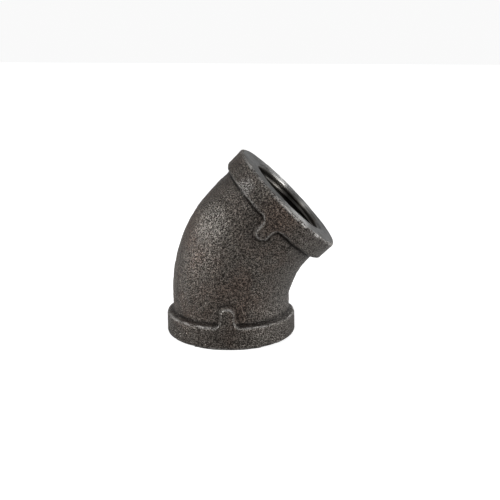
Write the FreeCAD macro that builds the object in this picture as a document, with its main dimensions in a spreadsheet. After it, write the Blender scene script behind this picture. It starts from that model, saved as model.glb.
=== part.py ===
import FreeCAD, Part
import math
import os
import sys

import Sketcher
from FreeCAD import Placement, Rotation, Vector

# 45 degree female pipe elbow, NPS 1, class 150 malleable iron, both ends banded.
#
# Millimetres. The origin is the centre of the lower end face, +Z runs along the lower
# port's axis into the fitting, and the upper port leans towards +X. The bend lies in the
# XZ plane, which is also the mould's parting plane. Front is -Y and back is +Y.
#
# The fitting is a single casting, so the document holds one body. Its features run in
# this order: barrel, wrench lugs, banded ends, cored chamber, drilled ports.

CELLS = [
    # alias, value, what it is
    ("centre_to_end", 28.45, "axis intersection to either end face"),
    ("bend_angle", 45.0, "angle between the port axes, degrees"),
    ("bend_radius", 38.0, "bend radius of the barrel's centre line"),
    ("band_radius", 22.7, "outside radius of the band at its face end"),
    ("band_width", 7.7, "band width along the port axis"),
    ("band_draft", 0.11, "how much the band's radius drops to its back edge"),
    ("band_front", 0.8, "round on the band's face edge"),
    ("band_back", 1.2, "round on the band's back edge"),
    ("neck_fillet", 1.3, "fillet between band and barrel"),
    ("neck_radius", 20.15, "outside radius of the barrel at the neck"),
    ("neck_end", 10.0, "end of the straight neck, from the face"),
    ("belly_radius", 21.05, "outside radius of the barrel at mid bend"),
    ("lower_lug_width", 4.7, "width of the wrench lugs on the lower band"),
    ("lower_lug_length", 6.5, "how far they run past the band's back edge"),
    ("upper_lug_width", 4.6, "width of the wrench lugs on the upper band"),
    ("upper_lug_length", 6.2, "how far they run past the band's back edge"),
    ("lug_corner", 2.1, "radius of the two corners of a lug's tip, in plan"),
    ("lug_root", 2.2, "plan fillet where a lug leaves the band"),
    ("lug_radius", 22.5, "radius of a lug's outer surface about the port axis"),
    ("lug_seat", 18.6, "distance from the bend plane where a lug starts, inside the wall"),
    ("lug_draft", 12.0, "draft of a lug's sides, degrees"),
    ("lug_edge", 0.40, "round on a lug's outer edges"),
    ("bore_radius", 14.684, "drilled radius of a port, for a 1 inch taper thread"),
    ("bore_depth", 16.0, "port depth from the face to the chamber"),
    ("sink_radius", 15.2, "countersink radius at the face, 45 degrees"),
    ("chamber_radius", 16.9, "radius of the cored chamber between the ports"),
]
SIZES = {alias: value for alias, value, _ in CELLS}

# Construction allowances, which leave no mark on the finished shape
LUG_OVERLAP = 2     # how far a lug's outline runs back into the band
LUG_PAD = 5.0       # pad length of a lug, before its outside is turned down
TURNING_LEAD = 2    # how far the turning cut starts outside the end face
TURNING_DEPTH = 8   # radial depth of the turning cut
TURNING_PAST = 3    # how far the cut runs past the lug's tip
PIVOT_HALF = 10.0   # half the length of the chamber's pivot line

ARC_STEPS = 6       # equal steps between the barrel's sections on the bend

doc = FreeCAD.newDocument("PipeElbow45")
sheet = doc.addObject("Spreadsheet::Sheet", "Params")
for row, (alias, value, note) in enumerate(CELLS, start=1):
    sheet.set("A%d" % row, alias)
    sheet.set("B%d" % row, "%.6g" % value)
    sheet.set("C%d" % row, note)
    sheet.setAlias("B%d" % row, alias)
doc.recompute()


# ---------------------------------------------------------------- driven sizes
class Dim:
    """A size that carries its number and the spreadsheet expression that gives it."""

    def __init__(self, value, text):
        self.value, self.text = float(value), text

    def __add__(self, other):
        other = as_dim(other)
        return Dim(self.value + other.value, "(%s + %s)" % (self.text, other.text))

    def __sub__(self, other):
        other = as_dim(other)
        return Dim(self.value - other.value, "(%s - %s)" % (self.text, other.text))

    def __rsub__(self, other):
        return as_dim(other) - self

    def __mul__(self, other):
        other = as_dim(other)
        return Dim(self.value * other.value, "(%s * %s)" % (self.text, other.text))

    def __truediv__(self, other):
        other = as_dim(other)
        return Dim(self.value / other.value, "(%s / %s)" % (self.text, other.text))

    def __neg__(self):
        return 0 - self


def as_dim(size):
    return size if isinstance(size, Dim) else Dim(size, "%.10g" % size)


def cell(alias):
    return Dim(SIZES[alias], "Params." + alias)


def sin_of(angle):
    return Dim(math.sin(math.radians(angle.value)), "sin(%s)" % angle.text)


def cos_of(angle):
    return Dim(math.cos(math.radians(angle.value)), "cos(%s)" % angle.text)


def tan_of(angle):
    return Dim(math.tan(math.radians(angle.value)), "tan(%s)" % angle.text)


def drive(obj, prop, dim):
    """Sets a property to a size and binds it to the spreadsheet."""
    setattr(obj, prop, dim.value)
    obj.setExpression(prop, dim.text)


ZERO = as_dim(0)
CENTRE, ANGLE, BEND = cell("centre_to_end"), cell("bend_angle"), cell("bend_radius")
STRAIGHT = CENTRE - BEND * tan_of(ANGLE / 2)  # straight run before the bend starts
ARC = BEND * ANGLE * (math.pi / 180)          # length of the bent run
RUN = STRAIGHT * 2 + ARC                      # whole centre line, face to face
NECK_END, NECK = cell("neck_end"), cell("neck_radius")
BAND_WIDTH = cell("band_width")
BORE_DEPTH = cell("bore_depth")

# Each port's frame on the XZ plane. In it X is the distance from the port axis, and Y
# the distance from the port's face into the fitting. The lower port needs no move.
PORTS = {
    "Lower": {},
    "Upper": {
        "x": CENTRE * sin_of(ANGLE),
        "y": CENTRE + CENTRE * cos_of(ANGLE),
        "turn": 180 - ANGLE,
    },
}

body = doc.addObject("PartDesign::Body", "elbow_body")
body.Label = "elbow_body"


# ---------------------------------------------------------------- sketches
def origin_plane(role):
    return next(item for item in body.Origin.OriginFeatures if item.Role == role)


XZ, XY = origin_plane("XZ_Plane"), origin_plane("XY_Plane")


def new_sketch(name, support, x=ZERO, y=ZERO, z=ZERO, axis=Vector(0, 0, 1), turn=ZERO):
    """A sketch on an origin plane, moved and turned in that plane's own frame."""
    sk = body.newObject("Sketcher::SketchObject", name)
    sk.AttachmentSupport = [(support, "")]
    sk.MapMode = "FlatFace"
    sk.AttachmentOffset = Placement(
        Vector(x.value, y.value, z.value), Rotation(axis, turn.value)
    )
    for path, dim in (("Base.x", x), ("Base.y", y), ("Base.z", z), ("Rotation.Angle", turn)):
        if dim.value:
            sk.setExpression(".AttachmentOffset." + path, dim.text)
    return sk


def constrain(sk, kind, *refs, dim):
    """Adds a constraint with a size that the spreadsheet drives."""
    index = sk.addConstraint(Sketcher.Constraint(kind, *refs, dim.value))
    sk.setExpression("Constraints[%d]" % index, dim.text)


def centred_circle(sk, radius):
    sk.addGeometry(Part.Circle(Vector(0, 0, 0), Vector(0, 0, 1), radius.value), False)
    sk.addConstraint(Sketcher.Constraint("Coincident", 0, 3, -1, 1))
    constrain(sk, "Radius", 0, dim=radius)


def arc_between(start, end, centre_x, centre_y, radius, ccw):
    first = math.atan2(start.y - centre_y.value, start.x - centre_x.value)
    last = math.atan2(end.y - centre_y.value, end.x - centre_x.value)
    if not ccw:
        first, last = last, first
    centre = Vector(centre_x.value, centre_y.value, 0)
    return Part.ArcOfCircle(Part.Circle(centre, Vector(0, 0, 1), radius.value), first, last)


def outline(sk, points):
    """Draws a closed outline. Each point is (x, y, arc), where arc is None for a straight
    run to the next point, or (centre_x, centre_y, radius, ccw) for an arc to it."""
    count = len(points)
    sizes = [(as_dim(x), as_dim(y)) for x, y, _ in points]
    corners = [Vector(x.value, y.value, 0) for x, y in sizes]
    arcs = [arc for _, _, arc in points]
    for i, arc in enumerate(arcs):
        start, end = corners[i], corners[(i + 1) % count]
        piece = arc_between(start, end, *arc) if arc else Part.LineSegment(start, end)
        sk.addGeometry(piece, False)

    # (start, end) vertex numbers of each piece, in the direction the outline runs. A
    # clockwise arc is stored the other way round.
    ends = [(2, 1) if arc and not arc[3] else (1, 2) for arc in arcs]
    for i in range(count):
        j = (i + 1) % count
        sk.addConstraint(Sketcher.Constraint("Coincident", i, ends[i][1], j, ends[j][0]))
    for i, (x, y) in enumerate(sizes):
        # -2 is the sketch's vertical axis, -1 its horizontal one
        for kind, dim, axis in (("DistanceX", x, -2), ("DistanceY", y, -1)):
            if abs(dim.value) < 1e-9:
                sk.addConstraint(Sketcher.Constraint("PointOnObject", i, ends[i][0], axis))
            else:
                constrain(sk, kind, -1, 1, i, ends[i][0], dim=dim)
        if arcs[i]:
            constrain(sk, "Radius", i, dim=arcs[i][2])


# ---------------------------------------------------------------- features
solid_volume = 0.0


def settle(feature, adds):
    """Recomputes, and stops unless the feature added or cut material as it should."""
    global solid_volume
    doc.recompute()
    before, solid_volume = solid_volume, body.Shape.Volume
    change = solid_volume - before
    if not (change if adds else -change) > 1.0:
        sys.exit("%s changed the volume by %.1f mm3" % (feature.Name, change))


def turn_about_port(kind, port, sketch_suffix, suffix, points):
    """Turns a profile once round a port's axis, as a Revolution or a Groove."""
    sk = new_sketch(port + sketch_suffix, XZ, **PORTS[port])
    outline(sk, points)
    feature = body.newObject("PartDesign::" + kind, port + suffix)
    feature.Profile = sk
    feature.ReferenceAxis = (sk, ["V_Axis"])
    feature.Angle = 360
    settle(feature, adds=kind == "Revolution")
    return feature


def barrel_radius(along):
    """Radius at a distance along the centre line: a parabola that peaks at mid bend."""
    share = (along - NECK_END) / (RUN - NECK_END * 2)
    return NECK + (cell("belly_radius") - NECK) * 4 * share * (1 - share)


def make_barrel():
    """Lofts the barrel through circles square to the centre line: one in each straight
    run and seven on the bend."""
    stations = [(ZERO, NECK_END, ZERO, NECK_END)]  # x, z, turn, distance along
    for step in range(ARC_STEPS + 1):
        share = step / ARC_STEPS
        turn = ANGLE * share
        x = BEND * (1 - cos_of(turn))
        z = STRAIGHT + BEND * sin_of(turn)
        stations.append((x, z, turn, STRAIGHT + ARC * share))
    reach = CENTRE - NECK_END
    stations.append(
        (reach * sin_of(ANGLE), CENTRE + reach * cos_of(ANGLE), ANGLE, RUN - NECK_END)
    )

    sections = []
    for number, (x, z, turn, along) in enumerate(stations):
        name = "BarrelSection%d" % number
        sk = new_sketch(name, XY, x=x, z=z, axis=Vector(0, 1, 0), turn=turn)
        centred_circle(sk, barrel_radius(along))
        sections.append(sk)

    barrel = body.newObject("PartDesign::AdditiveLoft", "Barrel")
    barrel.Profile = sections[0]
    barrel.Sections = sections[1:]
    barrel.Ruled = False
    barrel.Closed = False
    settle(barrel, adds=True)


def make_lug(port, side, at_back):
    """Pads one lug outwards from inside the wall, with drafted sides."""
    seat = cell("lug_seat")
    sk = new_sketch(
        "%s%sLugOutline" % (port, side), XZ, z=-seat if at_back else seat, **PORTS[port]
    )
    corner, root = cell("lug_corner"), cell("lug_root")
    half = cell(port.lower() + "_lug_width") / 2
    tip = BAND_WIDTH + cell(port.lower() + "_lug_length")
    wide, flat, shoulder = half + root, half - corner, tip - corner
    root_top = BAND_WIDTH + root
    outline(
        sk,
        [
            (-wide, BAND_WIDTH - LUG_OVERLAP, None),
            (wide, BAND_WIDTH - LUG_OVERLAP, None),
            (wide, BAND_WIDTH, (wide, root_top, root, False)),
            (half, root_top, None),
            (half, shoulder, (flat, shoulder, corner, True)),
            (flat, tip, None),
            (-flat, tip, (-flat, shoulder, corner, True)),
            (-half, shoulder, None),
            (-half, root_top, (-wide, root_top, root, False)),
            (-wide, BAND_WIDTH, None),
        ],
    )
    lug = body.newObject("PartDesign::Pad", "%s%sLug" % (port, side))
    lug.Profile = sk
    lug.Length = LUG_PAD
    lug.Reversed = at_back
    drive(lug, "TaperAngle", -cell("lug_draft"))
    settle(lug, adds=True)


def turn_lugs(port):
    """Turns the outside of a port's lugs down to a cylinder about the port axis."""
    inner = cell("lug_radius")
    outer = inner + TURNING_DEPTH
    past = BAND_WIDTH + cell(port.lower() + "_lug_length") + TURNING_PAST
    return turn_about_port("Groove", port, "LugTurning", "LugTurned", [
        (inner, -TURNING_LEAD, None),
        (outer, -TURNING_LEAD, None),
        (outer, past, None),
        (inner, past, None),
    ])


def is_lug_outside(face):
    surface = face.Surface
    radius = SIZES["lug_radius"]
    return isinstance(surface, Part.Cylinder) and abs(surface.Radius - radius) < 1e-3


def round_lug_edges(base):
    """Rounds every edge of the lugs' turned outer surfaces."""
    shape = body.Shape
    names = [
        "Edge%d" % number
        for number, edge in enumerate(shape.Edges, start=1)
        if any(is_lug_outside(face) for face in shape.ancestorsOfType(edge, Part.Face))
    ]
    rounded = body.newObject("PartDesign::Fillet", "LugEdges")
    rounded.Base = (base, names)
    drive(rounded, "Radius", cell("lug_edge"))
    settle(rounded, adds=False)


def make_end(port):
    """Turns the flat face, the drafted band with rounded edges, the fillet behind it and
    the straight neck that meets the barrel."""
    band, front, back = cell("band_radius"), cell("band_front"), cell("band_back")
    fillet = cell("neck_fillet")
    back_radius = band - cell("band_draft")
    back_start = BAND_WIDTH - back
    fillet_end = BAND_WIDTH + fillet
    turn_about_port("Revolution", port, "EndProfile", "End", [
        (0, 0, None),
        (band - front, 0, (band - front, front, front, True)),
        (band, front, None),
        (back_radius, back_start, (back_radius - back, back_start, back, True)),
        (back_radius - back, BAND_WIDTH, None),
        (NECK + fillet, BAND_WIDTH, (NECK + fillet, fillet_end, fillet, False)),
        (NECK, fillet_end, None),
        (NECK, NECK_END, None),
        (0, NECK_END, None),
    ])


def cut_chamber():
    """Cuts the space between the ports. It is wider than they are, and bends with its own
    radius so that it starts and ends square to them."""
    reach = CENTRE - BORE_DEPTH
    core_bend = reach / tan_of(ANGLE / 2)
    sk = new_sketch("ChamberSection", XY, z=BORE_DEPTH)
    centred_circle(sk, cell("chamber_radius"))
    pivot_line = Part.LineSegment(
        Vector(core_bend.value, -PIVOT_HALF, 0), Vector(core_bend.value, PIVOT_HALF, 0)
    )
    pivot = sk.addGeometry(pivot_line, True)
    sk.addConstraint(Sketcher.Constraint("Symmetric", pivot, 1, pivot, 2, -1))
    sk.addConstraint(Sketcher.Constraint("DistanceY", pivot, 1, pivot, 2, 2 * PIVOT_HALF))
    constrain(sk, "DistanceX", -1, 1, pivot, 1, dim=core_bend)

    chamber = body.newObject("PartDesign::Groove", "Chamber")
    chamber.Profile = sk
    chamber.ReferenceAxis = (sk, ["Axis0"])
    drive(chamber, "Angle", ANGLE)
    settle(chamber, adds=False)

    # The groove must turn towards the upper port, so a point on that port's axis just
    # inside the chamber's far end has to be empty.
    outward = Vector(sin_of(ANGLE).value, 0, cos_of(ANGLE).value)
    probe = Vector(0, 0, CENTRE.value) + outward * (reach.value - 0.5)
    if body.Shape.isInside(probe, 1e-3, False):
        chamber.Reversed = True
        doc.recompute()
        if body.Shape.isInside(probe, 1e-3, False):
            sys.exit("the chamber doesn't reach the upper port")


def cut_port(port):
    """Drills a port to tap size and countersinks it."""
    bore, sink = cell("bore_radius"), cell("sink_radius")
    turn_about_port("Groove", port, "PortProfile", "Port", [
        (0, 0, None),
        (sink, 0, None),
        (bore, sink - bore, None),
        (bore, BORE_DEPTH, None),
        (0, BORE_DEPTH, None),
    ])


# ---------------------------------------------------------------- build
make_barrel()
for port in PORTS:
    make_lug(port, "Front", at_back=False)
    make_lug(port, "Back", at_back=True)
for port in PORTS:
    turned = turn_lugs(port)
round_lug_edges(turned)
for port in PORTS:
    make_end(port)
cut_chamber()
solid_volume = body.Shape.Volume  # the chamber may have been reversed
for port in PORTS:
    cut_port(port)

# ---------------------------------------------------------------- check and write
doc.recompute()
for obj in doc.Objects:
    bad = [state for state in obj.State if state in ("Invalid", "Error")]
    if bad:
        sys.exit("%s is %s" % (obj.Name, bad))
shape = body.Shape
if shape.isNull() or not shape.isValid() or len(shape.Solids) != 1:
    sys.exit("elbow_body is not one valid solid")

os.makedirs("parts", exist_ok=True)
shape.exportStep("parts/%s.step" % body.Label)
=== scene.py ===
"""A cast black iron 45 degree pipe elbow with a tapped port at each end.

The lower port's face lies on z = 0, centred on the origin, and its axis is +Z. The upper port
leans 45 degrees towards +X. The bend lies in the XZ plane, and a pair of lugs behind each band
stands on the +Y and -Y sides. Lengths are in mm up to the mesh, and in metres from there on.
"""

import math

import bmesh
import bpy
import numpy as np
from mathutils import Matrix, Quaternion, Vector


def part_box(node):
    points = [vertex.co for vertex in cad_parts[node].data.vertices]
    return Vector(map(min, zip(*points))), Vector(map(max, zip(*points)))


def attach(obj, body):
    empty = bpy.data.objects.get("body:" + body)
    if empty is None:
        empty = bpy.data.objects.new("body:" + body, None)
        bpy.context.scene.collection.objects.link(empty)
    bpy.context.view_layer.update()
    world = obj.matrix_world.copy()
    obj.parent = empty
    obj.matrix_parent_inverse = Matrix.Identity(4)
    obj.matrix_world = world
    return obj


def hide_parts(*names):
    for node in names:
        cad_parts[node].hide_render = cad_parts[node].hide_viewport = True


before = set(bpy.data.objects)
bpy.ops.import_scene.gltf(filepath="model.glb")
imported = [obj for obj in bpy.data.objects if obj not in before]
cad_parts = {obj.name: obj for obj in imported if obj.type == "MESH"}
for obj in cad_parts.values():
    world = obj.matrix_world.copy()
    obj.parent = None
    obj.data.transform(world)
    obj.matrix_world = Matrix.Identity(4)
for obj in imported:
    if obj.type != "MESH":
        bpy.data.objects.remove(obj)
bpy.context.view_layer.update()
NODE = "elbow_body"
low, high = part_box(NODE)

# ------------------------------------------------------------------ sizes, mm
FACE_REACH = 28.45  # from each face to the point where the two axes meet
ANGLE = math.pi / 4
BEND = 38.0  # radius of the centre line
BAND = high.y * 1000.0  # radius of the bands round the ports
BAND_END = 7.7  # the band's back edge, measured from the face
NECK, NECK_END, BELLY = 20.10, 10.0, 21.0  # barrel radius by the bands, where it ends, mid radius
FLARE, FLARE_LENGTH = 0.22, 6.5  # the barrel's widening towards each band
FACE_ROUND, BACK_ROUND = 1.0, 0.95  # rounding of the band's two edges
DRAFT = 0.11  # how much the band narrows towards its back edge
FILLET = 1.3  # between the band's back and the barrel
# half width and length past the band, for the lower and the upper lugs
LUGS = ((2.35, 6.5), (2.30, 6.4))
LUG_TOP, LUG_CORNER = 22.5, 2.1  # radius of the top from the port's axis, corner radius in plan
LUG_ZONE = 10.6  # lugs are worked out this far past the band
SINK, BORE, DEPTH = 15.2, 14.684, 16.0  # countersink and drilled radii, drilled depth
CHAMBER = 16.9  # radius of the cored chamber
PITCH = 25.4 / 11.5
THREAD_RADIUS, TAPER = 15.7305, 1 / 32  # thread's pitch radius at the face, and its loss per mm
STRAIGHT = FACE_REACH - BEND * math.tan(ANGLE / 2)
ARC = BEND * ANGLE
RUN = 2 * STRAIGHT + ARC  # whole length of the centre line
CORE_BEND = (FACE_REACH - DEPTH) / math.tan(ANGLE / 2)
ROUND_COUNT = 344  # points round the outside; half as many inside


# ------------------------------------------------------------------ curves and noise
class Noise:
    """Gradient noise with its own fixed seed. Values have a standard deviation of about 1."""

    def __init__(self, seed):
        rng = np.random.default_rng(seed)
        self.perm = rng.permutation(256)
        grad = rng.normal(size=(256, 3))
        self.grad = grad / np.linalg.norm(grad, axis=1)[:, None]

    def __call__(self, points, wave):
        scaled = points / wave + 57.31
        base = np.floor(scaled).astype(np.int64)
        part = scaled - base
        ease = part * part * part * (part * (part * 6 - 15) + 10)
        total = np.zeros(points.shape[:-1])
        for corner in np.ndindex(2, 2, 2):
            index = 0
            for axis in range(3):
                index = self.perm[(index + base[..., axis] + corner[axis]) & 255]
            weight = np.where(corner, ease, 1 - ease).prod(-1)
            total += weight * (self.grad[index] * (part - np.array(corner))).sum(-1)
        return total * 4.0


def smooth(x, start, end):
    """Eases from 0 at start to 1 at end."""
    t = np.clip((x - start) / (end - start), 0, 1)
    return t * t * (3 - 2 * t)


def hump(x, middle, width):
    """A bell curve, 1 at the middle."""
    return np.exp(-(((x - middle) / width) ** 2))


def soft_max(a, b, width):
    share = np.clip(0.5 + 0.5 * (a - b) / width, 0, 1)
    return a * share + b * (1 - share) + width * share * (1 - share)


slow_noise, mid_noise, fine_noise, edge_noise = Noise(11), Noise(23), Noise(37), Noise(51)

# ------------------------------------------------------------------ frames
SIN, COS = math.sin(ANGLE), math.cos(ANGLE)
SIDE = np.array([0.0, 1, 0])
# each port: face centre, direction into the fitting, direction of theta = 0 (inside the bend)
PORTS = {
    "lower": (np.zeros(3), np.array([0.0, 0, 1]), np.array([1.0, 0, 0])),
    "upper": (
        np.array([FACE_REACH * SIN, 0, FACE_REACH + FACE_REACH * COS]),
        np.array([-SIN, 0, -COS]),
        np.array([COS, 0, -SIN]),
    ),
}


def centre(s):
    """Centre-line point and inner-side direction at a distance s from the lower face."""
    turn = np.clip((s - STRAIGHT) / BEND, 0, ANGLE)
    past = np.maximum(s - STRAIGHT - ARC, 0)
    x = BEND * (1 - np.cos(turn)) + past * SIN
    z = np.minimum(s, STRAIGHT) + BEND * np.sin(turn) + past * COS
    zero = np.zeros_like(x)
    return np.stack([x, zero, z], -1), np.stack([np.cos(turn), zero, -np.sin(turn)], -1)


def port_ring(port, depth, radius, theta):
    """Points round a port's axis, at a depth from its face."""
    origin, into, zero = PORTS[port]
    depth = np.broadcast_to(depth, theta.shape)
    radius = np.broadcast_to(radius, theta.shape)
    out = np.cos(theta)[:, None] * zero + np.sin(theta)[:, None] * SIDE
    return origin + depth[:, None] * into + radius[:, None] * out


def angle_list():
    """Angles round the axis, packed closer over the lugs at +90 and -90 degrees."""
    fine = np.linspace(-math.pi, math.pi, 20001)
    off = np.minimum(abs(fine - math.pi / 2), abs(fine + math.pi / 2))
    density = 1 + 1.5 * (1 - smooth(off, math.radians(11), math.radians(22)))
    total = np.concatenate([[0], np.cumsum((density[1:] + density[:-1]) / 2)])
    total /= total[-1]
    return np.interp(np.arange(ROUND_COUNT) / ROUND_COUNT, total, fine)


THETA = angle_list()
THETA_IN = THETA[::2]
COUNT_IN = len(THETA_IN)


# ------------------------------------------------------------------ outer shape
def end_profile():
    """(distance from the face, radius) from the face's outer edge to the neck."""

    def quarter(count):
        t = np.linspace(0, math.pi / 2, count)[1:]
        return np.sin(t), 1 - np.cos(t), np.cos(t)

    back = BAND_END - BACK_ROUND
    sin, versine, _ = quarter(9)
    front_edge = FACE_ROUND * versine, BAND - FACE_ROUND + FACE_ROUND * sin
    part = np.linspace(0, 1, 14)[1:]
    flank = FACE_ROUND + part * (back - FACE_ROUND), BAND - DRAFT * part
    sin, _, cos = quarter(7)
    back_edge = back + BACK_ROUND * sin, BAND - DRAFT - BACK_ROUND + BACK_ROUND * cos
    sin, versine, _ = quarter(8)
    fillet = BAND_END + FILLET * versine, NECK + FLARE + FILLET * (1 - sin)
    parts = (front_edge, flank, back_edge, fillet)
    points = np.concatenate([np.stack(columns, -1) for columns in parts])
    # the ledge behind the band isn't square to the axis: it leans away from the face
    first = len(front_edge[0]) + len(part)
    count = len(points) - first
    points[first:, 0] += np.arange(1, count + 1) / count * 0.40 - 0.16
    return points


END = end_profile()


def neck_radius(s):
    """Radius of the barrel between the bands at a distance s along the centre line."""
    near = np.minimum(s, RUN - s)
    u = np.clip((s - NECK_END) / (RUN - 2 * NECK_END), 0, 1)
    start = END[-1, 0]
    flare = FLARE * (1 - smooth(near, start, start + FLARE_LENGTH))
    return NECK + (BELLY - NECK) * 4 * u * (1 - u) + flare


def outer_stations():
    """Distances along the centre line and radii, closer together over the lugs."""
    fine = np.arange(END[-1, 0] + 0.27, 15.4, 0.27)
    mid = RUN - 2 * fine[-1]
    coarse = fine[-1] + np.linspace(0, mid, int(mid / 0.40) + 1)[1:-1]
    body = np.concatenate([fine, coarse, RUN - fine[::-1]])
    s = np.concatenate([END[:, 0], body, RUN - END[::-1, 0]])
    return s, np.concatenate([END[:, 1], neck_radius(body), END[::-1, 1]])


STATIONS, RADII = outer_stations()
S_GRID, TH_GRID = np.meshgrid(STATIONS, THETA, indexing="ij")
NEAR = np.minimum(S_GRID, RUN - S_GRID)  # distance to the nearer face


def lug_radius(across, along, half, length):
    """Radius of the lug's surface at a plan position, and the distance outside its top."""
    over_x = abs(across) - (half - LUG_CORNER)
    over_d = along - (BAND_END + length - LUG_CORNER)
    cap = np.hypot(np.maximum(over_x, 0), np.maximum(over_d, 0))
    cap = cap + np.minimum(np.maximum(over_x, over_d), 0) - LUG_CORNER
    pull = 0.70 * smooth(abs(across), half + 1.7, half + 3.6)
    band = along - (BAND_END - 0.12 - pull)
    root = 2.5  # radius of the blend between lug and band
    blend = np.hypot(np.maximum(root - cap, 0), np.maximum(root - band, 0))
    plan = np.maximum(root, np.minimum(cap, band)) - blend
    # a rounded rim, then a steep straight side
    rim, slope = 0.62, math.radians(66)
    t = rim + plan
    knee = rim * math.sin(slope)
    rounded = rim - np.sqrt(np.maximum(rim * rim - np.clip(t, 0, knee) ** 2, 0))
    side = rim * (1 - math.cos(slope)) + (t - knee) * math.tan(slope)
    return LUG_TOP - np.where(t < 0, 0, np.where(t < knee, rounded, side)), plan


def outer_grid():
    """Smooth outer points and radii, with masks for the lugs' rims, feet and joins to the band."""
    across = 22.3 * np.cos(TH_GRID)
    rim, foot, merged = (np.zeros_like(S_GRID) for _ in range(3))
    # inside the bend the barrel flares out more towards the bands, most by the lower one
    swell = 0.30 * np.maximum(np.cos(TH_GRID), 0) * (1 - smooth(S_GRID, 9.5, 17.0))
    r = RADII[:, None] + swell * smooth(NEAR, BAND_END + 0.3, BAND_END + 2.2)
    on_side = abs(abs(TH_GRID) - math.pi / 2) < math.radians(30)
    for along, (half, length) in zip((S_GRID, RUN - S_GRID), LUGS):
        on = on_side & (along < BAND_END + LUG_ZONE)
        lug, plan = lug_radius(across, along, half, length)
        r = np.where(on, soft_max(r, np.maximum(lug, r - 5), 0.55), r)
        band = on & (along > BAND_END - 1.0)
        edge = hump(plan, -0.22, 0.30)
        edge = edge * (1 - smooth(abs(across), half + 1.6, half + 3.2))
        # the lug runs into the band without an edge between them
        join = 1 - smooth(abs(across), half + 0.7, half + 2.0)
        merged = np.maximum(merged, np.where(band, join, 0))
        rim = np.maximum(rim, np.where(band, edge, 0))
        foot_on = on & (along > BAND_END + 1.2)
        foot = np.maximum(foot, np.where(foot_on, hump(plan, 1.0, 0.42), 0))
    middle, inner = centre(S_GRID)
    out = np.cos(TH_GRID)[..., None] * inner + np.sin(TH_GRID)[..., None] * SIDE
    return middle + r[..., None] * out, r, rim, foot, merged


def unit(vectors):
    return vectors / (np.linalg.norm(vectors, axis=-1)[..., None] + 1e-12)


def grid_normals(points):
    """Blurred outward normals of the outer grid, closed round the axis."""
    along = np.gradient(points, axis=0)
    around = (np.roll(points, -1, axis=1) - np.roll(points, 1, axis=1)) / 2
    a = unit(np.cross(around, along))
    for _ in range(3):
        up = np.concatenate([a[:1], a[:-1]], 0)
        down = np.concatenate([a[1:], a[-1:]], 0)
        a = (2 * a + up + down + np.roll(a, 1, 1) + np.roll(a, -1, 1)) / 6
    return unit(a)


SHAPE, OUT_R, LUG_RIM, LUG_FOOT, MERGED = outer_grid()


# ------------------------------------------------------------------ relief of the cast skin
def dent(s, theta, size, depth, stretch, turn):
    """Depth of one dent over the grid. It is stretched along a line turned in the XZ plane."""
    i = int(np.argmin(abs(STATIONS - s)))
    j = int(np.argmin(abs(THETA - theta)))
    away = SHAPE - SHAPE[i, j]
    along = away @ np.array([math.cos(turn), 0, math.sin(turn)])
    rest = np.maximum((away**2).sum(-1) - along**2, 0)
    return depth * np.exp(-(along**2) / (size * stretch) ** 2 - rest / size**2)


# casting marks on the lower band's -Y side:
# distance from the face, theta (degrees), size, depth, stretch, turn (degrees)
BAND_MARKS = (
    (3.7, -112.0, 0.42, 0.20, 2.6, 90),
    (2.7, -106.0, 0.40, 0.16, 2.0, 80),
    (2.3, -85.5, 0.40, 0.20, 3.0, 4),
    (3.0, -55.0, 0.45, 0.16, 1.8, 20),
    (5.4, -88.0, 0.38, 0.14, 1.6, 60),
)


def all_dents():
    rng = np.random.default_rng(7)
    total = np.zeros(S_GRID.shape)

    def random_dent(s, size, depth, stretch):
        """Each range is drawn in the order of dent's arguments."""
        theta = rng.uniform(-math.pi, math.pi)
        drawn = [rng.uniform(*span) for span in (size, depth, stretch)]
        return dent(s, theta, *drawn, rng.uniform(0, math.pi))

    for _ in range(46):  # pits all over
        s = rng.uniform(1, RUN - 1)
        total += random_dent(s, size=(0.35, 0.9), depth=(0.05, 0.16), stretch=(1, 2.2))
    for s, degrees, size, depth, stretch, turn in BAND_MARKS:
        total += dent(s, math.radians(degrees), size, depth, stretch, math.radians(turn))
    for _ in range(26):  # handling knocks on the face edges
        s = rng.uniform(0.1, 0.6)
        s = s if rng.random() < 0.5 else RUN - s
        total += random_dent(s, size=(0.35, 0.8), depth=(0.08, 0.22), stretch=(1, 2))
    return total


def cast_relief():
    """Height of the casting's skin over the smooth shape."""
    on_band = 1 - smooth(NEAR, BAND_END - 0.5, BAND_END + 0.8)
    slow = slow_noise(SHAPE, 11.0) * 0.050 + mid_noise(SHAPE, 5.0) * 0.030
    grain = fine_noise(SHAPE, 2.1) * 0.026 + edge_noise(SHAPE, 1.15) * 0.034
    relief = slow + grain * (1 - 0.45 * on_band)
    # the band's back edge and the lugs' rims wander
    wobble = slow_noise(SHAPE + 31, 3.4) * 0.055 + mid_noise(SHAPE + 17, 1.6) * 0.030
    relief += wobble * np.maximum(hump(NEAR, BAND_END, 0.9), 0.8 * LUG_RIM)
    relief -= all_dents()
    # the mould's parting line, in the plane of the bend, ground back on the bands
    seam = np.minimum(abs(TH_GRID), math.pi - abs(TH_GRID)) * OUT_R
    kept = 0.55 + 0.45 * np.clip(slow_noise(SHAPE + 77, 7.0), -1, 1)
    return relief + 0.10 * kept * hump(seam, 0, 0.45) * (1 - 0.75 * on_band)


def face_cut(points):
    """Nothing stands past either machined face."""
    for origin, into, _ in PORTS.values():
        depth = (points - origin) @ into
        close = np.linalg.norm(points - origin, axis=-1) < BAND + 1
        points = points + np.where(close & (depth < 0.0), -depth, 0.0)[..., None] * into
    return points


def corner_shade():
    """Painted shade in the corners behind the bands and at the feet of the lugs."""
    line = BAND_END + 0.62
    painted_shade = hump(NEAR, line, np.where(NEAR > line, 0.70, 0.56))
    painted_shade = painted_shade * (1 - smooth(OUT_R - neck_radius(S_GRID), 1.5, 2.3))
    return np.maximum(painted_shade, 0.75 * LUG_FOOT)


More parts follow.
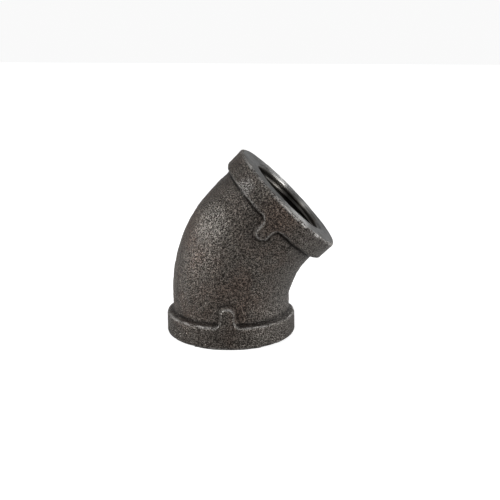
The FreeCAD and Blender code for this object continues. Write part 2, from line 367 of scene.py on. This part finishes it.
def edge_wear():
    """Rubbing on the bands' edges and the lugs' rims. Some lengths are rubbed more than others."""
    back = hump(NEAR, BAND_END - 0.36, 0.34) * smooth(OUT_R, 21.2, 22.0) * (1 - MERGED)
    front = hump(NEAR, 0.34, 0.42)
    lower = S_GRID < RUN / 2
    luck = np.clip(0.5 + 0.45 * slow_noise(SHAPE + 140, 8.0), 0, 1)
    inward = smooth(TH_GRID, -1.9, -1.2) * (TH_GRID < 0)
    back_amount = np.where(lower, 0.40, 0.20 - 0.16 * smooth(TH_GRID, -1.5, -1.2))
    back_amount = back_amount + 0.34 * luck
    front_amount = np.where(lower, 0.22, 0.55 + 0.45 * inward) + 0.25 * luck
    front_amount += np.where(lower, 0, 0.15 * hump(TH_GRID, -0.80, 0.32))
    wear_and_highlight = np.maximum(back * back_amount, front * front_amount)
    return np.clip(np.maximum(wear_and_highlight, 0.66 * LUG_RIM), 0, 1)


# ------------------------------------------------------------------ building the skin
verts, faces = [], []
# the second value holds edge wear on the skin and a painted highlight on the cut metal; the third
# holds painted shade
marks_of = {"machined": [], "wear_and_highlight": [], "corner": []}  # one value per vertex


def add(points, machined, wear_and_highlight=0.0, corner=0.0):
    """Adds points and returns their numbers."""
    first = len(verts)
    verts.extend(map(tuple, points))
    for values, value in zip(marks_of.values(), (machined, wear_and_highlight, corner)):
        values.extend(np.broadcast_to(value, len(points)).tolist())
    return list(range(first, len(verts)))


def stitch(a, b):
    """Faces between two rings. The first may have twice as many points as the second."""
    count = len(b)
    for j in range(count):
        k = (j + 1) % count
        if len(a) == count:
            faces.append((a[j], a[k], b[k], b[j]))
        else:
            faces.append((a[2 * j], a[2 * j + 1], a[2 * k], b[k], b[j]))


def outer_skin():
    """Returns the rings next to the lower and the upper face."""
    points = face_cut(SHAPE + grid_normals(SHAPE) * cast_relief()[..., None])
    rings = [add(p, 0.0, w, c) for p, w, c in zip(points, edge_wear(), corner_shade())]
    for ring, following in zip(rings, rings[1:]):
        stitch(ring, following)
    return rings[0], rings[-1]


# ------------------------------------------------------------------ ports
def shade_stretches(theta):
    """Painted shade on the cut metal, on two stretches round the port."""
    off = theta - math.pi / 2
    far = 0.44 * smooth(off, 0.26, 0.52) * (1 - smooth(off, 1.1, 1.5))
    off = theta + math.pi / 2
    return far + 0.28 * smooth(off, -0.05, 0.15) * (1 - smooth(off, 0.55, 0.80))


def highlight_stretches(theta):
    """Two stretches where the cut is painted brighter: a painted highlight."""
    off = theta - math.pi / 2
    return hump(off, -0.52, 0.11) + 0.42 * hump(off, 0.13, 0.09)


def thread_radius(x, phase):
    """Radius of the tapped wall at depth x. phase runs 0 to 1 over a pitch, 0 on a crest."""
    middle = THREAD_RADIUS - x * TAPER
    tall, full = 0.8 * PITCH, math.sqrt(3) / 2 * PITCH
    off = min(phase, 1 - phase) * PITCH
    r = middle - full / 2 + off * math.sqrt(3)
    r = np.clip(r, middle - tall / 2, middle + tall / 2)
    # the countersink stays smooth, and the tap's lead leaves the last turns shallow
    fade = (1 - smooth(x, 11.6, 15.3)) * smooth(x, 1.00, 2.60)
    return max(BORE + max(r - BORE, 0) * fade, SINK - x)


def thread_marks(x, phase, theta):
    """Painted highlight and painted shade on the thread: the shade lies in the grooves, partly for
    dark oil, and it is darker further in.
    """
    off = theta - math.pi / 2
    root = 1 - abs(2 * phase - 1)
    # painted light: the flank that faces the mouth gets less shade, as if lit
    faces_mouth = phase > 0.5
    oil_and_shade = 0.40 * root**2.2 if faces_mouth else 0.25 + 0.50 * root
    oil_and_shade = max(oil_and_shade * smooth(x, 1.05, 1.45), shade_stretches(theta))
    # painted shade: two stretches of the wall go dark sooner than the rest
    sooner = smooth(-off, -0.02, 0.16) * (1 - smooth(-off, 0.9, 1.2))
    sooner = max(sooner, smooth(off, 0.55, 0.80))
    # painted shade, growing deeper into the bore
    deep = max(smooth(x, 3.2, 7.0), 0.78 * sooner * smooth(x, 1.25, 2.30))
    # painted highlight on the first turns, and a painted glint on a deeper turn
    thread_highlight = highlight_stretches(theta) * (1 - smooth(x, 1.2, 2.0))
    thread_highlight += 0.7 * hump(off, 0.20, 0.12) * smooth(x, 1.7, 2.3) * (1 - smooth(x, 3.2, 4.0))
    oil_and_shade *= 1 - 0.8 * thread_highlight
    return thread_highlight, oil_and_shade + (0.90 - oil_and_shade) * deep


def thread_part(port, ring0, ring1, x0, x1):
    """The tapped wall between two rings, in rows that follow the helix."""
    phases = [0.022, 0.17, 0.33, 0.478, 0.522, 0.67, 0.83, 0.978]
    per_turn = len(phases)
    turns = int((x1 - x0) / PITCH) + 3
    ids = {}

    def vertex(row, j):
        """Number of a row's point. Rows past an end collapse onto that end's ring."""
        if (row, j) not in ids:
            whole, part = divmod(row, per_turn)
            phase = phases[part]
            lead = (THETA_IN[j] + math.pi) / (2 * math.pi)
            x = x0 + (whole - 2 + phase + lead + 0.28) * PITCH
            if x <= x0 + 0.06:
                ids[row, j] = ring0[j]
            elif x >= x1 - 0.06:
                ids[row, j] = ring1[j]
            else:
                point = port_ring(port, x, thread_radius(x, phase), THETA_IN[j : j + 1])
                ids[row, j] = add(point, 1.0, *thread_marks(x, phase, THETA_IN[j]))[0]
        return ids[row, j]

    for row in range((turns + 4) * per_turn):
        for j in range(COUNT_IN):
            # the last column meets the first one a turn later
            beside, k = (row, j + 1) if j < COUNT_IN - 1 else (row + per_turn, 0)
            quad = (vertex(row, j), vertex(beside, k), vertex(beside + 1, k), vertex(row + 1, j))
            face = tuple(dict.fromkeys(quad))
            if len(face) >= 3:
                faces.append(face)


def port_part(port, outer_ring):
    """From the outer skin's last ring in over the face, the countersink and the thread.
    Returns the ring where the drilled wall ends."""
    outer = np.array([verts[i] for i in outer_ring])
    outer_r = np.linalg.norm(outer - PORTS[port][0], axis=1)
    # the edge of the cut wanders, because the casting's own edge does
    edge = port_ring(port, 0, BAND, THETA)
    wander = edge_noise(edge, 1.9) * 0.10 + mid_noise(edge, 6.0) * 0.10
    cut = np.minimum(BAND - FACE_ROUND + wander, outer_r - 0.10)
    last = add(port_ring(port, 0.0, cut, THETA), 0.75, 0.9)
    stitch(outer_ring, last)

    def cut_ring(depth, radius, theta, painted_shade=0.0):
        nonlocal last
        points = port_ring(port, depth, radius, theta)
        # the cut face takes the painted highlight and painted shade stretches
        ring = add(points, 1.0, highlight_stretches(theta), np.maximum(painted_shade, shade_stretches(theta)))
        stitch(last, ring)
        last = ring

    for r in (21.35, 20.3, 19.0):
        cut_ring(0.0, np.minimum(r, cut - 0.1), THETA)
    # the thread's first groove breaks out through the face for a short way
    start = hump(THETA_IN, -0.06, 0.20)
    x0, x1 = 0.42, DEPTH - 0.15
    for r in (18.0, 16.9, SINK + 1.25 * start):
        cut_ring(0.0, r, THETA_IN)
    # painted shade in the groove where it breaks out through the face
    cut_ring(x0 / 2, SINK - x0 / 2 + 1.1 * start, THETA_IN, painted_shade=0.55 * start)
    cut_ring(x0, SINK - x0 + 0.9 * start, THETA_IN, painted_shade=0.8 * start)
    # painted shade at the bottom of the drilled wall
    end_ring = add(port_ring(port, x1, BORE, THETA_IN), 1.0, 0.0, 0.92)
    thread_part(port, last, end_ring, x0, x1)
    return end_ring


# ------------------------------------------------------------------ cored chamber
# lips rounded where the drill broke in: depth from the face, radius, machined
LIPS = (
    (DEPTH + 0.12, BORE + 0.25, 0.6),
    (DEPTH + 0.35, BORE + 0.95, 0.2),
    (DEPTH + 0.75, CHAMBER - 0.55, 0.0),
    (DEPTH + 1.35, CHAMBER - 0.12, 0.0),
)


def chamber_rings():
    """(points, machined) of each ring, from the lower port round the core's bend to the upper."""
    rings = [(port_ring("lower", depth, r, THETA_IN), m) for depth, r, m in LIPS]
    margin = 1.9 / CORE_BEND
    from_pivot = CORE_BEND - CHAMBER * np.cos(THETA_IN)
    for turn in np.linspace(margin, ANGLE - margin, 22):
        x = CORE_BEND - from_pivot * math.cos(turn)
        z = DEPTH + from_pivot * math.sin(turn)
        rings.append((np.stack([x, CHAMBER * np.sin(THETA_IN), z], -1), 0.0))
    upper = [(port_ring("upper", depth, r, THETA_IN), m) for depth, r, m in LIPS[::-1]]
    return rings + upper


def chamber(first_ring, last_ring):
    last = first_ring
    for points, machined in chamber_rings():
        out = points - points.mean(0)
        out /= np.linalg.norm(out, axis=1)[:, None]
        lump = slow_noise(points + 200, 6.0) * 0.10 + fine_noise(points + 200, 2.2) * 0.05
        points = points + out * (lump * (1 - machined))[:, None]
        # painted shade all through the cored chamber
        ring = add(points, machined * 0.8, 0.0, 0.95)
        stitch(last, ring)
        last = ring
    stitch(last, last_ring)


# ------------------------------------------------------------------ mesh
def build_casting():
    lower_edge, upper_edge = outer_skin()
    lower_end = port_part("lower", lower_edge)
    upper_end = port_part("upper", upper_edge)
    chamber(lower_end, upper_end)

    mesh = bpy.data.meshes.new("elbow_casting")
    mesh.from_pydata((np.array(verts) / 1000.0).tolist(), [], faces)
    bm = bmesh.new()
    bm.from_mesh(mesh)
    bmesh.ops.recalc_face_normals(bm, faces=bm.faces)
    if bm.calc_volume(signed=True) < 0:
        bmesh.ops.reverse_faces(bm, faces=bm.faces)
    for face in bm.faces:
        face.smooth = True
    for edge in bm.edges:
        if edge.calc_face_angle(0) > math.radians(48):
            edge.smooth = False
    bm.to_mesh(mesh)
    bm.free()
    for name, values in marks_of.items():
        attribute = mesh.attributes.new(name, "FLOAT", "POINT")
        attribute.data.foreach_set("value", np.array(values, np.float32))
    casting = bpy.data.objects.new("elbow_casting", mesh)
    bpy.context.scene.collection.objects.link(casting)
    return casting


# ------------------------------------------------------------------ node trees
class Graph:
    """Short names for building the node tree of a material or a world."""

    def __init__(self, owner):
        self.owner = owner
        owner.use_nodes = True
        self.tree = owner.node_tree
        self.tree.nodes.clear()

    def node(self, kind, inputs=None, **props):
        node = self.tree.nodes.new(kind)
        for name, value in props.items():
            setattr(node, name, value)
        for key, value in (inputs or {}).items():
            self.put(node.inputs[key], value)
        return node

    def put(self, socket, value):
        """Links a socket or sets a value. Colours get an alpha of 1."""
        if isinstance(value, bpy.types.NodeSocket):
            self.tree.links.new(value, socket)
        else:
            socket.default_value = (*value, 1.0) if socket.type == "RGBA" else value

    def math(self, op, a, b=0.0):
        return self.node("ShaderNodeMath", {0: a, 1: b, 2: 0.0}, operation=op).outputs[0]

    def mul(self, a, b):
        return self.math("MULTIPLY", a, b)

    def weighted(self, first, second):
        """Sum of two (value, weight) pairs."""
        return self.math("ADD", self.mul(*first), self.mul(*second))

    def vec(self, op, a, b=None, scale=None):
        given = {0: a, 1: b, "Scale": scale}
        inputs = {key: value for key, value in given.items() if value is not None}
        node = self.node("ShaderNodeVectorMath", inputs, operation=op)
        return node.outputs["Value" if op in ("DISTANCE", "DOT_PRODUCT", "LENGTH") else "Vector"]

    def choose(self, kind, fac, a, b, blend="MIX"):
        node = self.node("ShaderNodeMix", data_type=kind, blend_type=blend)
        self.put(node.inputs["Factor"], fac)
        wanted = "VALUE" if kind == "FLOAT" else kind
        for name, value in (("A", a), ("B", b)):
            fitting = (s for s in node.inputs if s.name == name and s.type == wanted)
            self.put(next(fitting), value)
        return next(out for out in node.outputs if out.type == wanted)

    def mix(self, fac, a, b):
        return self.choose("RGBA", fac, a, b)

    def coat(self, base, colour, mask, strength, blend="MIX"):
        return self.choose("RGBA", self.mul(mask, strength), base, colour, blend)

    def lerp(self, fac, at_0, at_1):
        return self.choose("FLOAT", fac, at_0, at_1)

    def ramp(self, value, start, end, low=0.0, high=1.0):
        """Eases from low at start to high at end."""
        limits = {"From Min": start, "From Max": end, "To Min": low, "To Max": high}
        node = self.node(
            "ShaderNodeMapRange",
            {**limits, "Value": value},
            interpolation_type="SMOOTHSTEP",
            clamp=True,
        )
        return node.outputs["Result"]

    def spot(self, place, middle, outer, inner):
        """1 within the inner radius of a point, 0 past the outer."""
        return self.ramp(self.vec("DISTANCE", place, middle), start=outer, end=inner)

    def noise(self, place, scale, detail, rough=0.5, distort=0.0):
        inputs = {"Vector": place, "Scale": scale, "Detail": detail}
        inputs.update({"Roughness": rough, "Distortion": distort})
        return self.node("ShaderNodeTexNoise", inputs).outputs["Fac"]


# ------------------------------------------------------------------ iron
def cast_skin(g, mm, tex, attr):
    """The cast skin's colour, roughness, specular level, metallic and height."""
    grain, grain2, patch2 = tex["grain"], tex["grain2"], tex["patch2"]
    cells = g.node("ShaderNodeTexVoronoi", {"Vector": mm, "Scale": 1.7}).outputs["Distance"]
    fine = g.noise(mm, scale=8.0, detail=2.0, rough=0.6)
    patch = g.noise(mm, scale=0.075, detail=3.0, rough=0.55, distort=0.6)  # 13 mm patches

    tone = g.weighted((grain, 0.47), (grain2, 0.53))
    light = g.ramp(tone, start=0.445, end=0.710)
    grey = g.mix(light, a=(0.0128, 0.0112, 0.0097), b=(0.197, 0.1710, 0.1470))
    brown = g.mix(light, a=(0.0150, 0.0098, 0.0078), b=(0.190, 0.1150, 0.0800))
    brownness = g.ramp(g.weighted((patch, 0.7), (patch2, 0.3)), start=0.38, end=0.66)
    # painted sheen: greyer towards +X, past a line that leans with height
    split = g.node("ShaderNodeSeparateXYZ", {0: mm}).outputs
    slant = g.mul(g.math("SUBTRACT", split["Z"], 20.0), 0.45)
    side_sheen = g.ramp(g.math("SUBTRACT", split["X"], slant), start=9.0, end=22.0)
    brownness = g.mul(brownness, g.lerp(side_sheen, at_0=1.0, at_1=0.25))
    # a rustier stretch on the upper band
    rusty = g.spot(mm, middle=(17.0, -22.0, 46.0), outer=11.0, inner=3.0)
    brownness = g.math("MAXIMUM", brownness, rusty)
    # and a spot of painted shade at the top of the bend
    top_shade = g.spot(mm, middle=(3.0, -13.0, 51.0), outer=19.0, inner=8.0)
    brownness = g.mul(brownness, g.lerp(top_shade, at_0=1.0, at_1=0.5))
    skin = g.mix(brownness, grey, brown)
    # painted sheen: lighter grey grains towards +X
    skin = g.mix(g.mul(side_sheen, light), skin, b=(0.250, 0.239, 0.222))
    # painted shade darkens the top of the bend
    skin = g.coat(skin, colour=(0.0060, 0.0055, 0.0052), mask=top_shade, strength=0.36)
    # the lower band is the darker one
    foot = g.ramp(split["Z"], start=9.0, end=7.0)
    skin = g.coat(skin, colour=(0.0120, 0.0078, 0.0052), mask=foot, strength=0.38)
    # worn high spots show lighter metal
    rub = g.weighted((tone, 0.7), (patch2, 0.5))
    worn = g.mul(attr["wear_and_highlight"], g.ramp(rub, start=0.53, end=0.66))
    skin = g.mix(worn, skin, b=(0.56, 0.55, 0.53))
    # painted shade in the corner behind the band, at the lugs' feet and in the chamber
    skin = g.coat(skin, colour=(0.0060, 0.0050, 0.0042), mask=attr["corner"], strength=0.95)
    # a painted highlight: a spot of glints behind the upper band's top edge
    band_glint = g.spot(mm, middle=(5.7, -17.3, 54.7), outer=4.2, inner=1.4)
    band_glint = g.mul(band_glint, g.ramp(tone, start=0.48, end=0.60))
    skin = g.coat(skin, colour=(0.46, 0.45, 0.44), mask=band_glint, strength=0.8)
    # and a painted highlight over the outside of the bend
    bend_highlight = g.spot(mm, middle=(-6.2, -14.5, 42.6), outer=9.5, inner=3.0)
    bend_highlight = g.mul(bend_highlight, g.ramp(tone, start=0.47, end=0.60))
    skin = g.coat(skin, colour=(0.42, 0.405, 0.37), mask=bend_highlight, strength=0.50)

    # less shine in the painted shade of the corners and the top of the bend, more in the painted
    # highlight over the bend
    specular = g.lerp(light, at_0=0.20, at_1=2.40)
    for mask, share in ((attr["corner"], 0.22), (top_shade, 0.65), (bend_highlight, 1.35)):
        specular = g.mul(specular, g.lerp(mask, at_0=1.0, at_1=share))
    coarse_height = g.weighted((grain, 0.250), (grain2, 0.150))
    cell_height = g.ramp(cells, start=0.0, end=0.75)
    fine_height = g.weighted((cell_height, 0.075), (fine, 0.02))
    height = g.math("ADD", coarse_height, fine_height)
    return skin, g.lerp(light, at_0=0.38, at_1=0.20), specular, g.mul(worn, 0.7), height


def port_fields(g, mm, port):
    """A port's depth, turned marks, mask inside the bore and direction across the marks."""
    origin, into, _ = PORTS[port]
    into = tuple(into)
    rel = g.vec("SUBTRACT", mm, tuple(origin))
    depth = g.vec("DOT_PRODUCT", rel, into)
    length = g.vec("LENGTH", rel)
    squared = g.math("SUBTRACT", g.mul(length, length), g.mul(depth, depth))
    radius = g.math("SQRT", g.math("MAXIMUM", squared, 0.0001))
    key = g.math("ADD", radius, g.mul(depth, 1.37))  # changes on the face and down the bore
    line = {"W": key, "Scale": 5.5, "Detail": 3.0, "Roughness": 0.7}
    marks = g.node("ShaderNodeTexNoise", line, noise_dimensions="1D").outputs["Fac"]
    # across the turned marks, on the face and on the bore's wall alike
    outward = g.vec("NORMALIZE", g.vec("SUBTRACT", rel, g.vec("SCALE", into, scale=depth)))
    across = g.vec("SUBTRACT", outward, into)
    return depth, marks, g.ramp(depth, start=0.15, end=0.60), across


def machined_metal(g, mm, tex, attr):
    """The cut metal's colour, roughness and height, and the direction across its marks."""
    _, low_marks, low_inside, low_across = port_fields(g, mm, "lower")
    depth, up_marks, up_inside, up_across = port_fields(g, mm, "upper")
    by_upper = g.math("LESS_THAN", depth, FACE_REACH * 0.8)
    marks = g.lerp(by_upper, low_marks, up_marks)
    inside = g.lerp(by_upper, low_inside, up_inside)
    across = g.choose("VECTOR", by_upper, low_across, up_across)

    scratch = g.noise(mm, scale=2.4, detail=4.0, rough=0.65, distort=1.5)
    blot = g.noise(mm, scale=0.42, detail=5.0, rough=0.66, distort=0.5)
    light = g.ramp(g.weighted((marks, 0.5), (scratch, 0.5)), start=0.34, end=0.66)
    metal = g.mix(light, a=(0.153, 0.152, 0.150), b=(0.396, 0.394, 0.389))
    # black scale left on the cut, and a little rust
    scale = g.mul(g.ramp(blot, start=0.38, end=0.70), g.lerp(inside, at_0=0.74, at_1=0.22))
    metal = g.mix(scale, metal, b=(0.048, 0.0465, 0.045))
    rust = g.ramp(tex["patch2"], start=0.54, end=0.72)
    metal = g.coat(metal, colour=(0.12, 0.092, 0.068), mask=rust, strength=0.40)
    # painted highlight on the cut metal, laid in on the face and the thread
    metal_highlight = g.mul(attr["wear_and_highlight"], g.ramp(attr["machined"], start=0.93, end=1.0))
    metal = g.coat(metal, colour=(0.62, 0.61, 0.59), mask=metal_highlight, strength=0.85)
    warm = (1.0, 0.94, 0.85)
    metal = g.coat(metal, colour=warm, mask=inside, strength=0.7, blend="MULTIPLY")
    # painted shade on the cut metal: dark stretches round the port, the thread's grooves, deep in
    # the bore and the lips; partly dark oil in the grooves
    metal = g.mix(attr["corner"], metal, b=(0.016, 0.0135, 0.0115))
    height = g.weighted((marks, 0.030), (scratch, 0.02))
    return metal, g.lerp(marks, at_0=0.29, at_1=0.45), height, across


def iron_material():
    g = Graph(bpy.data.materials.new("black_iron"))
    place = g.node("ShaderNodeTexCoord").outputs["Object"]
    mm = g.vec("SCALE", place, scale=1000.0)
    attr = {
        name: g.node("ShaderNodeAttribute", attribute_name=name).outputs["Fac"]
        for name in marks_of
    }
    tex = {
        "grain": g.noise(mm, scale=2.1, detail=1.0),  # about 0.5 mm across
        "grain2": g.noise(mm, scale=3.9, detail=1.0, rough=0.6),
        "patch2": g.noise(mm, scale=0.23, detail=3.0, rough=0.6, distort=0.4),
    }
    skin, skin_rough, specular, metallic, skin_height = cast_skin(g, mm, tex, attr)
    metal, metal_rough, metal_height, across = machined_metal(g, mm, tex, attr)

    # the grain frays the border between skin and cut
    fray = g.mul(g.math("SUBTRACT", tex["grain"], 0.5), 0.5)
    cut = g.ramp(g.math("ADD", attr["machined"], fray), start=0.42, end=0.62)
    height = g.lerp(cut, skin_height, metal_height)
    bump = g.node("ShaderNodeBump", {"Strength": 1.0, "Distance": 0.001, "Height": height})
    inputs = {
        "Base Color": g.mix(cut, skin, metal),
        "Roughness": g.lerp(cut, skin_rough, metal_rough),
        "Metallic": g.lerp(cut, metallic, at_1=0.85),
        "IOR": 1.6,
        "Specular IOR Level": g.lerp(cut, specular, at_1=0.5),
        "Specular Tint": g.mix(cut, a=(1.0, 0.91, 0.82), b=(1.0, 1.0, 1.0)),
        "Anisotropic": g.mul(cut, 0.88),
        "Tangent": across,
        "Normal": bump.outputs["Normal"],
    }
    bsdf = g.node("ShaderNodeBsdfPrincipled", inputs)
    g.node("ShaderNodeOutputMaterial", {"Surface": bsdf.outputs["BSDF"]})
    return g.owner


casting = build_casting()
casting.data.materials.append(iron_material())
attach(casting, "root")
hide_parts(NODE)


# ------------------------------------------------------------------ floor
def floor_material():
    g = Graph(bpy.data.materials.new("pale_floor"))
    place = g.node("ShaderNodeTexCoord").outputs["Object"]
    mottle = g.noise(place, scale=60.0, detail=3.0)
    pale = g.mix(mottle, a=(0.62, 0.62, 0.62), b=(0.64, 0.64, 0.64))
    seen = g.node("ShaderNodeLightPath").outputs["Is Camera Ray"]
    far = g.vec("LENGTH", place)
    glow = g.ramp(far, start=0.05, end=0.9, low=0.75, high=0.86)
    # no glow under the fitting, where the floor shows through the bore
    glow = g.mul(glow, g.math("GREATER_THAN", far, 0.0205))
    inputs = {
        # the floor throws less light back on the piece than it shows the camera
        "Base Color": g.mix(seen, (0.55, 0.55, 0.55), pale),
        "Emission Color": (1.0, 1.0, 1.0),
        "Emission Strength": g.mul(seen, glow),
        "Roughness": 0.85,
        "Specular IOR Level": 0.1,
    }
    top = g.node("ShaderNodeBsdfPrincipled", inputs).outputs["BSDF"]
    # seen from below, the floor is clear
    below = g.node("ShaderNodeNewGeometry").outputs["Backfacing"]
    clear = g.node("ShaderNodeBsdfTransparent").outputs["BSDF"]
    shader = g.node("ShaderNodeMixShader", {0: below, 1: top, 2: clear})
    g.node("ShaderNodeOutputMaterial", {"Surface": shader.outputs[0]})
    return g.owner


floor_mesh = bpy.data.meshes.new("floor")
bm = bmesh.new()
bmesh.ops.create_grid(bm, x_segments=24, y_segments=24, size=2.0)
bm.to_mesh(floor_mesh)
bm.free()
floor = bpy.data.objects.new("floor", floor_mesh)
bpy.context.scene.collection.objects.link(floor)
floor_mesh.materials.append(floor_material())
floor.location.z = low.z - 0.00005  # just clear of the lower face

# ------------------------------------------------------------------ light
TARGET = Vector((0.008, 0.0, 0.024))  # lights and camera stand round this point


def place_facing(name, data, azimuth, elevation, distance):
    """Aims an object at the target. Azimuth 0 is the -Y side, and grows towards +X; degrees."""
    thing = bpy.data.objects.new(name, data)
    a, e = math.radians(azimuth), math.radians(elevation)
    back = Vector((math.sin(a) * math.cos(e), -math.cos(a) * math.cos(e), math.sin(e)))
    thing.location = TARGET + back * distance
    thing.rotation_mode = "QUATERNION"
    thing.rotation_quaternion = (-back).to_track_quat("-Z", "Y")
    bpy.context.scene.collection.objects.link(thing)
    return thing


def area(name, azimuth, elevation, size, power, size_y=None, distance=0.60):
    """A soft box."""
    data = bpy.data.lights.new(name, "AREA")
    data.shape = "RECTANGLE"
    data.size, data.size_y = size, size_y or size
    data.energy = power
    place_facing(name, data, azimuth, elevation, distance)


area("key", azimuth=-73, elevation=25, size=0.09, power=1.88, size_y=0.17, distance=0.55)
area("top", azimuth=20, elevation=80, size=0.40, power=0.25)
area("right", azimuth=86, elevation=23, size=0.12, power=0.88, size_y=0.16)
area("rim", azimuth=130, elevation=21, size=0.12, power=0.48)
area("fill", azimuth=64, elevation=10, size=0.30, power=0.42)
area("spark", azimuth=62, elevation=7, size=0.10, power=0.30)
area("kick", azimuth=87, elevation=5, size=0.07, power=0.50)


def white_world():
    """Dim white light on the piece, and a brighter white for the camera."""
    g = Graph(bpy.data.worlds.new("studio"))
    bpy.context.scene.world = g.owner
    lit, seen = (
        g.node("ShaderNodeBackground", {"Color": (1, 1, 1), "Strength": strength}).outputs[0]
        for strength in (0.30, 0.95)
    )
    camera_ray = g.node("ShaderNodeLightPath").outputs["Is Camera Ray"]
    shader = g.node("ShaderNodeMixShader", {0: camera_ray, 1: lit, 2: seen})
    g.node("ShaderNodeOutputWorld", {0: shader.outputs[0]})


white_world()

# ------------------------------------------------------------------ camera
cam_data = bpy.data.cameras.new("camera")
cam = place_facing("camera", cam_data, azimuth=1.988, elevation=15.14, distance=0.31954)
roll = Quaternion((0, 0, 1), math.radians(0.19))
cam.rotation_quaternion = cam.rotation_quaternion @ roll
cam_data.sensor_width = 36.0
cam_data.lens = 65.19816
cam_data.shift_x = -0.007144
cam_data.shift_y = 0.02824
cam_data.clip_start, cam_data.clip_end = 0.01, 20.0
bpy.context.scene.camera = cam

bpy.context.scene.view_settings.view_transform = "Standard"
bpy.context.scene.view_settings.look = "None"
